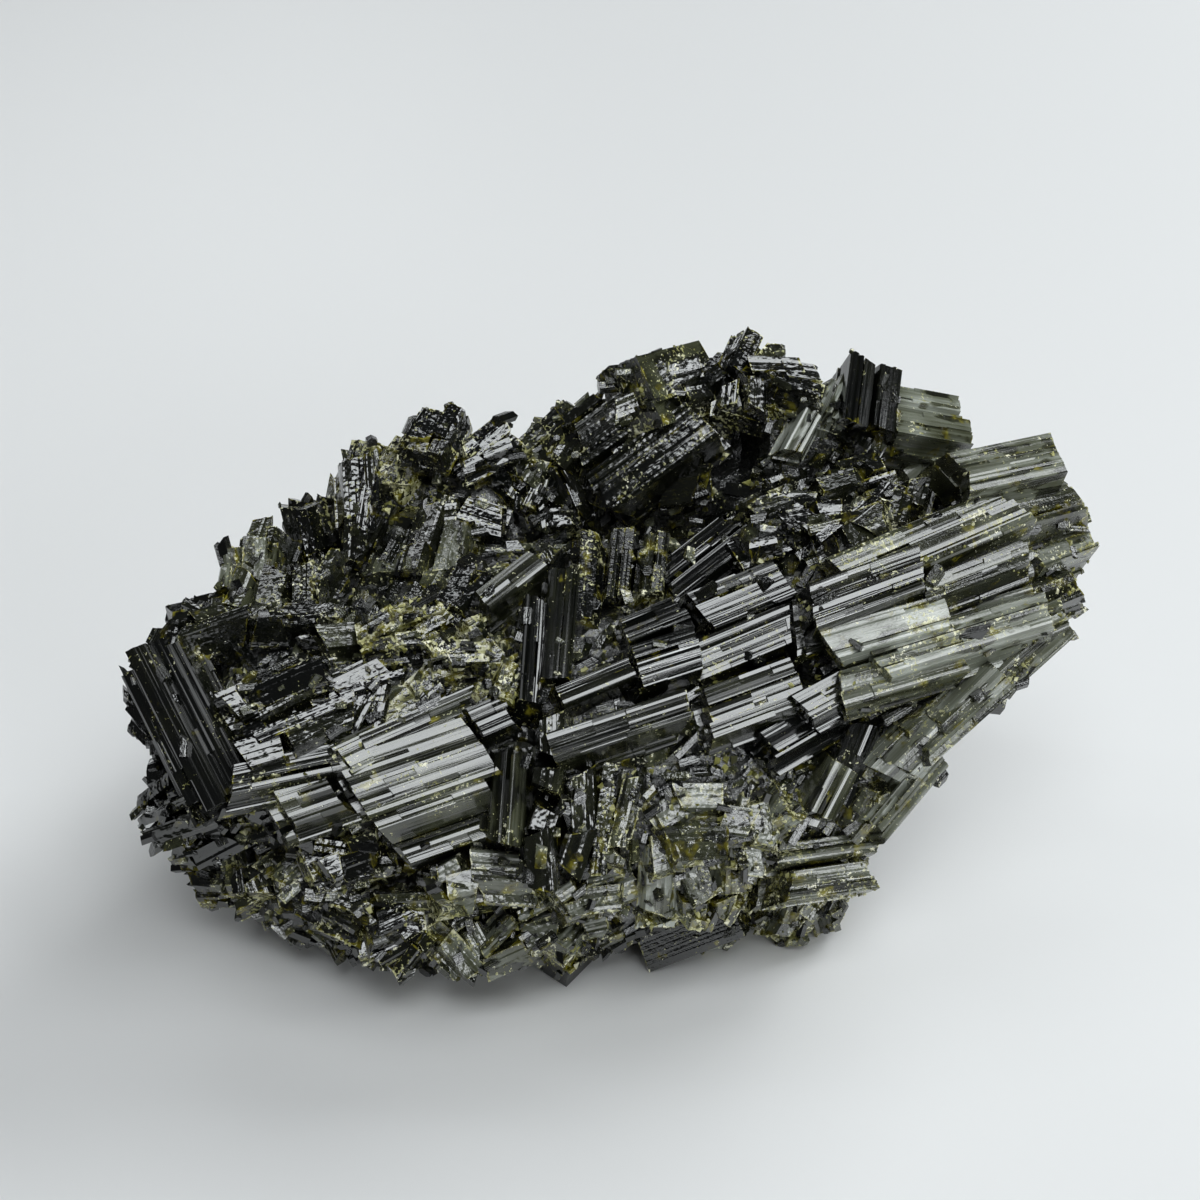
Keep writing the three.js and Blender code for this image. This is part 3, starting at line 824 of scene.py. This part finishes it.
def small_crystal_tree():
    """Short prisms in the gaps, most of them along the growth around them, some standing out."""
    tree, sizes, end = geometry_tree(
        "small_crystals", "Spacing", "Thinnest", "Thickest", "Standing", "Share", Cover="Object", Seed="Int")
    share = times(tree, named(tree, "rubble"), sizes["Share"])
    points, skin = open_points(tree, sizes, share)
    choice = tree.nodes.new("GeometryNodeGeometryToInstance")
    for shape in SMALL_SHAPES:
        tree.links.new(small_shape(tree, *shape), choice.inputs[0])
    grow = named(tree, "grow", "FLOAT_VECTOR")
    lying = vector_math(tree, "ADD", i0=grow, i1=random_vector(tree, 0.5, 11))
    standing = vector_math(tree, "ADD", i0=skin, i1=random_vector(tree, 0.8, 12))
    stands = math_node(tree, "LESS_THAN", random_number(tree, 0.0, 1.0, 13), sizes["Standing"])
    way = node(tree, "ShaderNodeMix", {"data_type": "VECTOR"}, i0=stands, i4=lying, i5=standing).outputs[1]
    aimed = node(tree, "FunctionNodeAlignRotationToVector", {"axis": "Z"}, Vector=way).outputs[0]
    roll = vector_of(tree, Z=random_number(tree, 0.0, 6.28, 14))
    turned = node(tree, "FunctionNodeRotateRotation", {"rotation_space": "LOCAL"}, i0=aimed,
                  i1=node(tree, "FunctionNodeEulerToRotation", i0=roll).outputs[0]).outputs[0]
    size = random_number(tree, sizes["Thinnest"], sizes["Thickest"], 15)
    size = times(tree, size, random_number(tree, 0.6, 1.0, 16))
    flat = times(tree, size, random_number(tree, 0.55, 1.0, 17))
    reach = node(tree, "ShaderNodeMix", {"data_type": "FLOAT"}, i0=stands,
                 i2=random_number(tree, 0.8, 1.8, 18), i3=random_number(tree, 0.7, 1.3, 22)).outputs[0]
    scale = vector_of(tree, X=size, Y=flat, Z=times(tree, size, reach))
    pick = math_node(tree, "FLOOR", random_number(tree, 0.0, len(SMALL_SHAPES) - 0.001, 19))
    placed = node(
        tree, "GeometryNodeInstanceOnPoints", Points=points, Instance=choice.outputs[0], Pick_Instance=True,
        Instance_Index=pick, Rotation=turned, Scale=scale,
    ).outputs[0]
    tone = math_node(tree, "POWER", random_number(tree, 0.0, 1.0, 20), 1.8)
    crystal = random_number(tree, 0.0, 900.0, 21)
    finished(tree, placed, end, sizes["Stone"], {"tone": tone, "crystal": crystal})
    return tree


def grain_tree():
    """Irregular grains on a surface, gathered in patches."""
    tree, sizes, end = geometry_tree(
        "grains", "Spacing", "Smallest", "Largest", "Patch", "Threshold", "Share", Cover="Object", Seed="Int")
    patch = node(tree, "ShaderNodeTexNoise", {"noise_dimensions": "3D"}, Detail=3.0,
                 Scale=math_node(tree, "DIVIDE", 1.0, sizes["Patch"])).outputs[0]
    above = math_node(tree, "SUBTRACT", patch, sizes["Threshold"])
    above = times_plus(tree, named(tree, "crust"), 0.25, above)
    held = node(tree, "ShaderNodeClamp", Value=times(tree, above, 14.0)).outputs[0]
    points, _ = open_points(tree, sizes, times(tree, held, sizes["Share"]))
    block = node(tree, "GeometryNodeMeshCube", Size=(0.8, 0.8, 0.8)).outputs[0]
    uneven = moved_points(tree, block, random_vector(tree, 0.2, 31))
    size = math_node(tree, "POWER", random_number(tree, 0.0, 1.0, 32), 2.2)
    size = node(tree, "ShaderNodeMapRange", Value=size, i3=sizes["Smallest"],
                i4=sizes["Largest"]).outputs[0]
    flat = times(tree, size, random_number(tree, 0.6, 1.0, 33))
    tall = times(tree, size, random_number(tree, 0.5, 1.3, 34))
    scale = vector_of(tree, X=size, Y=flat, Z=tall)
    turned = node(tree, "FunctionNodeEulerToRotation", i0=random_vector(tree, 3.14, 35)).outputs[0]
    placed = node(tree, "GeometryNodeInstanceOnPoints", Points=points, Instance=uneven, Rotation=turned,
                  Scale=scale).outputs[0]
    finished(tree, placed, end, sizes["Stone"], {"tone": random_number(tree, 0.0, 1.0, 36)})
    return tree


# Materials

def ramp(tree, value, stops):
    """A colour ramp with the given places and colours."""
    made = node(tree, "ShaderNodeValToRGB", Fac=value)
    elements = made.color_ramp.elements
    while len(elements) < len(stops):
        elements.new(0.5)
    for element, (place, colour) in zip(elements, stops):
        element.position = place
        element.color = (*colour, 1.0)
    return made.outputs[0]


def shader_attribute(tree, name):
    return node(tree, "ShaderNodeAttribute", {"attribute_name": name}).outputs["Fac"]


def object_place(tree):
    return node(tree, "ShaderNodeTexCoord").outputs["Object"]


def noise(tree, place, scale, detail, roughness=0.5):
    return node(
        tree, "ShaderNodeTexNoise", Vector=place, Scale=scale, Detail=detail, Roughness=roughness,
    ).outputs[0]


def swing(tree, value, middle, amount):
    """How far a value is from its middle, times an amount."""
    return times(tree, math_node(tree, "SUBTRACT", value, middle), amount)


def mixed(tree, share, first, second):
    made = node(tree, "ShaderNodeMix", {"data_type": "RGBA"}, i0=share)
    feed(tree, made.inputs[6], first)
    feed(tree, made.inputs[7], second)
    return made.outputs[2]


STONE_COLOURS = [
    (0.0, (0.0025, 0.003, 0.0025)),
    (0.3, (0.01, 0.011, 0.005)),
    (0.55, (0.056, 0.06, 0.032)),
    (0.78, (0.155, 0.166, 0.128)),
    (1.0, (0.345, 0.365, 0.32)),
]
GRAIN_COLOURS = [
    (0.0, (0.02, 0.021, 0.009)),
    (0.35, (0.085, 0.084, 0.018)),
    (0.55, (0.27, 0.265, 0.07)),
    (0.72, (0.53, 0.515, 0.24)),
    (0.9, (0.82, 0.8, 0.6)),
]
AMBER_COLOURS = [
    (0.35, (0.03, 0.025, 0.003)),
    (0.5, (0.1, 0.088, 0.008)),
    (0.65, (0.26, 0.235, 0.025)),
]
SPECK_COLOURS = [
    (0.3, (0.08, 0.08, 0.02)),
    (0.43, (0.25, 0.245, 0.07)),
    (0.53, (0.5, 0.49, 0.25)),
    (0.64, (0.82, 0.8, 0.6)),
]


def speckled(tree, stone, amount, cloud):
    """A stone colour under amber stains and fine specks, the specks' share, and fine and coarse relief."""
    place = object_place(tree)
    speck = noise(tree, place, 1500.0, 2.0, 0.75)
    shade = noise(tree, place, 420.0, 2.0, 0.7)
    reach = times_plus(tree, math_node(tree, "SUBTRACT", cloud, 0.5), 0.5, speck)
    mask = node(
        tree, "ShaderNodeMapRange", {"interpolation_type": "SMOOTHSTEP"},
        Value=times_plus(tree, amount, 0.15, reach), i1=0.705, i2=0.74,
    ).outputs[0]
    stain = times_plus(tree, amount, 0.2, noise(tree, place, 380.0, 2.0))
    spread = node(tree, "ShaderNodeMapRange", Value=stain, i1=0.68, i2=0.79).outputs[0]
    stained = mixed(tree, spread, stone, ramp(tree, shade, AMBER_COLOURS))
    return mixed(tree, mask, stained, ramp(tree, shade, SPECK_COLOURS)), mask, speck, shade


def finish_stone(shader, tree, colour, mask, roughness, height, strength):
    """Feeds a stone shader: specks are duller than the faces, and relief comes from the given height."""
    feed(tree, shader.inputs["Base Color"], colour)
    dull = node(tree, "ShaderNodeMix", {"data_type": "FLOAT"}, i0=mask, i2=roughness, i3=0.4).outputs[0]
    feed(tree, shader.inputs["Roughness"], dull)
    bump = node(tree, "ShaderNodeBump", Strength=strength, Distance=0.0003, Height=height).outputs[0]
    feed(tree, shader.inputs["Normal"], bump)
    shader.inputs["IOR"].default_value = 1.74
    shader.inputs["Specular IOR Level"].default_value = 0.78


def new_stone(name):
    material = bpy.data.materials.new(name)
    material.use_nodes = True
    return material, material.node_tree, material.node_tree.nodes["Principled BSDF"]


def prism_stone():
    """Striated epidote: streaks along each prism, darker and paler prisms, speckled ends with painted shade
    on their flat faces, and crusts.
    """
    material, tree, shader = new_stone("striated_epidote")
    tone, around, along, crystal, crust, edge, end, rubble, plain = (
        shader_attribute(tree, name)
        for name in ("tone", "around", "along", "crystal", "crust", "edge", "end", "rubble", "plain")
    )
    # Long, thin noise along each prism makes its streaks, and shorter noise darkens pale prisms in small
    # pit-shaped spots: painted shade of pits that the mesh does not have.
    streak = noise(tree, vector_of(tree, X=around, Y=times(tree, along, 0.02), Z=crystal), 2.0, 2.0, 0.6)
    pit = noise(tree, vector_of(tree, X=around, Y=times(tree, along, 0.3), Z=crystal), 0.55, 2.0)
    cloud = noise(tree, object_place(tree), 140.0, 1.0)
    lined = times_plus(tree, plain, -0.7, 1.0)
    level = math_node(tree, "ADD", tone, swing(tree, streak, 0.5, times(tree, lined, 0.45)))
    level = math_node(tree, "ADD", level, swing(tree, cloud, 0.5, 0.7))
    # Painted shade of small pits, on the paler prisms only.
    painted_pit_shade = node(tree, "ShaderNodeMapRange", Value=pit, i1=0.54, i2=0.6).outputs[0]
    level = times_plus(tree, times(tree, painted_pit_shade, tone), -0.5, level)
    # Painted shade: the flat end faces are made darker and carry fewer specks; specks gather on edges.
    shaded_end_face = math_node(tree, "GREATER_THAN", end, 0.97)
    level = times_plus(tree, shaded_end_face, -0.25, level)
    rim = times(tree, edge, times_plus(tree, rubble, 0.7, 0.55))
    rim = times(tree, rim, math_node(tree, "SUBTRACT", 1.0, times(tree, shaded_end_face, 0.7)))
    colour, mask, speck, shade = speckled(
        tree, ramp(tree, level, STONE_COLOURS), math_node(tree, "ADD", crust, rim), cloud)
    roughness = times_plus(tree, streak, times_plus(tree, tone, 0.3, 0.1), 0.05)
    height = times_plus(tree, times(tree, speck, crust), 0.8, times(tree, streak, 0.32))
    height = times_plus(tree, times(tree, shade, plain), 4.0, height)
    finish_stone(shader, tree, colour, mask, roughness, height, 0.5)
    return material


def small_stone():
    """Small dark crystals with clean, glossy faces under some specks."""
    material, tree, shader = new_stone("small_epidote")
    tone = shader_attribute(tree, "tone")
    around = shader_attribute(tree, "around")
    cloud = noise(tree, object_place(tree), 420.0, 2.0, 0.65)
    level = math_node(tree, "ADD", times(tree, tone, 0.7), swing(tree, cloud, 0.58, 0.9))
    colour, mask, speck, _ = speckled(tree, ramp(tree, level, STONE_COLOURS), times(tree, tone, 0.8), cloud)
    streak = noise(tree, vector_of(tree, X=around, Y=tone), 3.0, 1.0)
    roughness = times_plus(tree, cloud, 0.16, 0.02)
    finish_stone(shader, tree, colour, mask, roughness, times_plus(tree, speck, 1.2, streak), 0.3)
    return material


def grain_stone():
    """Pistachio-green grains, from brown-green to nearly white."""
    material, tree, shader = new_stone("pistachio_grains")
    tone = shader_attribute(tree, "tone")
    cloud = noise(tree, object_place(tree), 260.0, 1.0)
    level = math_node(tree, "ADD", times(tree, tone, 0.75), swing(tree, cloud, 0.45, 0.9))
    feed(tree, shader.inputs["Base Color"], ramp(tree, level, GRAIN_COLOURS))
    feed(tree, shader.inputs["Roughness"], times_plus(tree, cloud, 0.4, 0.08))
    shader.inputs["IOR"].default_value = 1.72
    return material


def heart_stone():
    """The mass between the crystals: near-black stone, darkened further as painted shade of the gaps, thick
    with specks, but bare in the hollow, where it is painted black as shade.
    """
    material, tree, shader = new_stone("broken_epidote")
    crust = shader_attribute(tree, "crust")
    cloud = noise(tree, object_place(tree), 190.0, 2.0, 0.7)
    # Painted shade: the mass is set darker than the prisms for the shade in the gaps, and darker still where
    # crust is 0, in the hollow.
    level = math_node(tree, "SUBTRACT", cloud, times_plus(tree, crust, -0.3, 0.72))
    colour, mask, speck, _ = speckled(
        tree, ramp(tree, level, STONE_COLOURS), times_plus(tree, crust, 0.8, -0.4), cloud)
    finish_stone(shader, tree, colour, mask, times_plus(tree, speck, 0.4, 0.1), speck, 0.8)
    return material


# Pieces

def new_piece(name, mesh):
    piece = bpy.data.objects.new(name, mesh)
    bpy.context.scene.collection.objects.link(piece)
    return piece


def rest_flat(mesh):
    """Cuts a mesh off at the resting plane and closes the cuts."""
    cut = bmesh.new()
    cut.from_mesh(mesh)
    everything = cut.verts[:] + cut.edges[:] + cut.faces[:]
    found = bmesh.ops.bisect_plane(
        cut, geom=everything, dist=1e-7, plane_co=(0, 0, 0), plane_no=(0, 0, -1), clear_outer=True,
    )
    edges = [item for item in found["geom_cut"] if isinstance(item, bmesh.types.BMEdge)]
    bmesh.ops.holes_fill(cut, edges=edges, sides=0)
    cut.to_mesh(mesh)
    cut.free()


def hollowed(places):
    """Points with those inside the ridge's hollow pushed to its far side, from the eye, and which were."""
    _, middle, radii = RIDGE_HOLLOW
    sight = (places - EYE) / np.linalg.norm(places - EYE, axis=1)[:, None]
    start = (places - middle) / radii
    along = sight / radii
    a = (along * along).sum(1)
    b = (start * along).sum(1)
    c = (start * start).sum(1) - 1
    reach = np.where(c < 0, (-b + np.sqrt(np.maximum(b * b - a * c, 0))) / a, 0)
    return places + sight * reach[:, None], reach > 0


def heart_mesh(crystals):
    """The lumps of the heart as one closed mesh, with the growth direction around each point."""
    shape = bmesh.new()
    for _, middle, radii in HEART_LUMPS:
        ball = bmesh.ops.create_icosphere(shape, subdivisions=LUMP_DETAIL, radius=1.0)["verts"]
        for vert in ball:
            vert.co = [((co * (radius - GAP_DEPTH) + at) + shift) * MM
                       for co, radius, at, shift in zip(vert.co, radii, middle, ORIGIN_SHIFT)]
    mesh = bpy.data.meshes.new("rough_heart")
    shape.to_mesh(mesh)
    shape.free()
    piece = new_piece("rough_heart", mesh)
    remesh = piece.modifiers.new("one_mass", "REMESH")
    remesh.mode = "VOXEL"
    remesh.voxel_size = HEART_CELL * MM
    depsgraph = bpy.context.evaluated_depsgraph_get()
    piece.data = bpy.data.meshes.new_from_object(piece.evaluated_get(depsgraph), depsgraph=depsgraph)
    piece.modifiers.clear()
    bpy.data.meshes.remove(mesh)
    count = len(piece.data.vertices)
    places = np.empty(count * 3, np.float32)
    piece.data.vertices.foreach_get("co", places)
    places, moved = hollowed(places.reshape(-1, 3) / MM - ORIGIN_SHIFT)
    piece.data.vertices.foreach_set("co", ((places + ORIGIN_SHIFT) * MM).astype(np.float32).ravel())
    middles = np.array([crystal["point"] for crystal in crystals])
    axes = np.array([crystal["axis"] for crystal in crystals])
    nearest = np.array([np.argmin(((middles - place) ** 2).sum(1)) for place in places])
    store(piece.data, "grow", axes[nearest], "vector")
    # Inside the hollow crust is 0: no specks, fewer grains and painted black shade; rubble is 0 there: no
    # small crystals.
    for name in ("crust", "rubble"):
        store(piece.data, name, 1.0 - moved)
    return piece


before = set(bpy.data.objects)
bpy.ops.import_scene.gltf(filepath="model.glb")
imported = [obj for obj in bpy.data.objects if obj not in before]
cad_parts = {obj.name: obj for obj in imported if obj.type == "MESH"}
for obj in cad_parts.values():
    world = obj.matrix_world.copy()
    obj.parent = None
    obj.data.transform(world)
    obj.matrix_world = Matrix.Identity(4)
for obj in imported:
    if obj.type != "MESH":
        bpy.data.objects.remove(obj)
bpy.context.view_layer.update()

prism_finish = prism_stone()
small_finish = small_stone()
grain_finish = grain_stone()
heart_finish = heart_stone()

crystals = show_crystals() + hidden_crystals()
shells = Shells()
for crystal in crystals:
    for part in range(crystal["parts"]):
        add_prism(shells, crystal, part)
prisms = new_piece("striated_prisms", shells.mesh("plain_prisms"))
prisms.data = run_tree(
    prisms, striation_tree(), Groove=0.5, Slot_depth=1.2, Slot_share=0.1, Step_depth=1.8, Step_share=0.16,
    Stone=prism_finish,
)
rest_flat(prisms.data)

heart = heart_mesh(crystals)
heart.data = run_tree(heart, roughen_tree(), Cell=4.5 * MM, Depth=2.4 * MM, Stone=heart_finish)
rest_flat(heart.data)

small_crystals = small_crystal_tree()
gap_crystals = new_piece("gap_crystals", run_tree(
    heart, small_crystals, Cover=prisms, Spacing=1.9 * MM, Thinnest=1.4 * MM, Thickest=3.4 * MM,
    Standing=0.25, Share=1.0, Seed=4, Stone=small_finish,
))
rubble_crystals = new_piece("rubble_crystals", run_tree(
    prisms, small_crystals, Cover=prisms, Spacing=1.4 * MM, Thinnest=0.7 * MM, Thickest=2.6 * MM,
    Standing=0.2, Share=0.38, Seed=5, Stone=small_finish,
))
grains = grain_tree()
gap_grains = new_piece("gap_grains", run_tree(
    heart, grains, Cover=prisms, Spacing=0.6 * MM, Smallest=0.3 * MM, Largest=1.2 * MM,
    Patch=6 * MM, Threshold=0.74, Share=1.0, Seed=7, Stone=grain_finish,
))
crust_grains = new_piece("crust_grains", run_tree(
    prisms, grains, Cover=prisms, Spacing=0.64 * MM, Smallest=0.25 * MM, Largest=0.9 * MM,
    Patch=4 * MM, Threshold=0.69, Share=0.9, Seed=9, Stone=grain_finish,
))

for piece in (gap_crystals, rubble_crystals, gap_grains, crust_grains):
    rest_flat(piece.data)
for piece in (prisms, heart, gap_crystals, rubble_crystals, gap_grains, crust_grains):
    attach(piece, "root")
    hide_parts("epidote_cluster")

# Floor and light, in metres
FLOOR_REACH = 3.0
FLOOR_TOP = -0.0002
SPECIMEN_MIDDLE = np.array([0.0, 0.0, 0.04])
DAYLIGHT = (0.945, 0.985, 1.0)

floor_mesh = bpy.data.meshes.new("floor")
corners = [(-1, -1), (1, -1), (1, 1), (-1, 1)]
table = [(x * FLOOR_REACH, y * FLOOR_REACH, FLOOR_TOP) for x, y in corners]
floor_mesh.from_pydata(table, [], [(0, 1, 2, 3)])
floor = new_piece("floor", floor_mesh)
floor_finish = bpy.data.materials.new("pale_table")
floor_finish.use_nodes = True
floor_shader = floor_finish.node_tree.nodes["Principled BSDF"]
floor_shader.inputs["Base Color"].default_value = (0.74, 0.74, 0.74, 1.0)
floor_shader.inputs["Roughness"].default_value = 0.45
floor_mesh.materials.append(floor_finish)


def panel(name, place, size, brightness, mirrored=True):
    """A rectangle of daylight that faces the specimen, and that glossy faces mirror or not."""
    light = bpy.data.lights.new(name, "AREA")
    light.shape = "RECTANGLE"
    light.size, light.size_y = size
    light.energy = brightness * math.pi * size[0] * size[1]
    light.color = DAYLIGHT
    lamp = bpy.data.objects.new(name, light)
    bpy.context.scene.collection.objects.link(lamp)
    lamp.location = place
    lamp.rotation_euler = direction_rotation(SPECIMEN_MIDDLE - place)
    lamp.visible_glossy = mirrored


def direction_rotation(direction):
    """The turn that points a light's -Z along a direction, with its top up."""
    level = math.hypot(direction[0], direction[1])
    return math.atan2(level, -direction[2]), 0.0, math.atan2(-direction[0], direction[1])


panel("window", (0.08, -0.42, 0.9), (0.65, 0.45), 4.4)
panel("skylight", (0.5, -0.1, 0.86), (0.35, 0.4), 4.2)
panel("front_window", (0.75, -1.05, 0.45), (0.7, 0.5), 4.8)
panel("side_window", (0.95, 0.85, 0.85), (0.9, 0.8), 8.0, mirrored=False)
panel("left_strip", (-0.68, -0.08, 1.0), (0.08, 0.5), 1.0)
panel("back_window", (-0.35, 1.1, 0.5), (0.5, 0.25), 3.0)
panel("ceiling_left", (-0.4, 0.15, 1.0), (0.12, 0.7), 3.0)
panel("ceiling_back", (0.1, 0.5, 1.0), (0.7, 0.1), 3.0)
world = bpy.data.worlds.new("room")
world.use_nodes = True
world.node_tree.nodes["Background"].inputs[0].default_value = (0.95, 0.97, 1.0, 1.0)
world.node_tree.nodes["Background"].inputs[1].default_value = 0.03
bpy.context.scene.world = world
bpy.context.scene.view_settings.view_transform = "Standard"

# Camera, in millimetres: its sensor, and the width that it sees at the show plane
SENSOR_WIDTH = 36
SEEN_WIDTH = 180

camera_data = bpy.data.cameras.new("camera")
camera_data.sensor_fit = "HORIZONTAL"
camera_data.sensor_width = SENSOR_WIDTH
camera_data.lens = SENSOR_WIDTH * EYE_DISTANCE / SEEN_WIDTH
camera_data.shift_y = 0.05
camera_data.clip_start = 0.01
camera = bpy.data.objects.new("camera", camera_data)
bpy.context.scene.collection.objects.link(camera)
camera.location = (EYE + ORIGIN_SHIFT) * MM
camera.rotation_euler = (math.pi / 2 - SHOW_ELEVATION, 0, 0)
bpy.context.scene.camera = camera

bpy.context.view_layer.update()
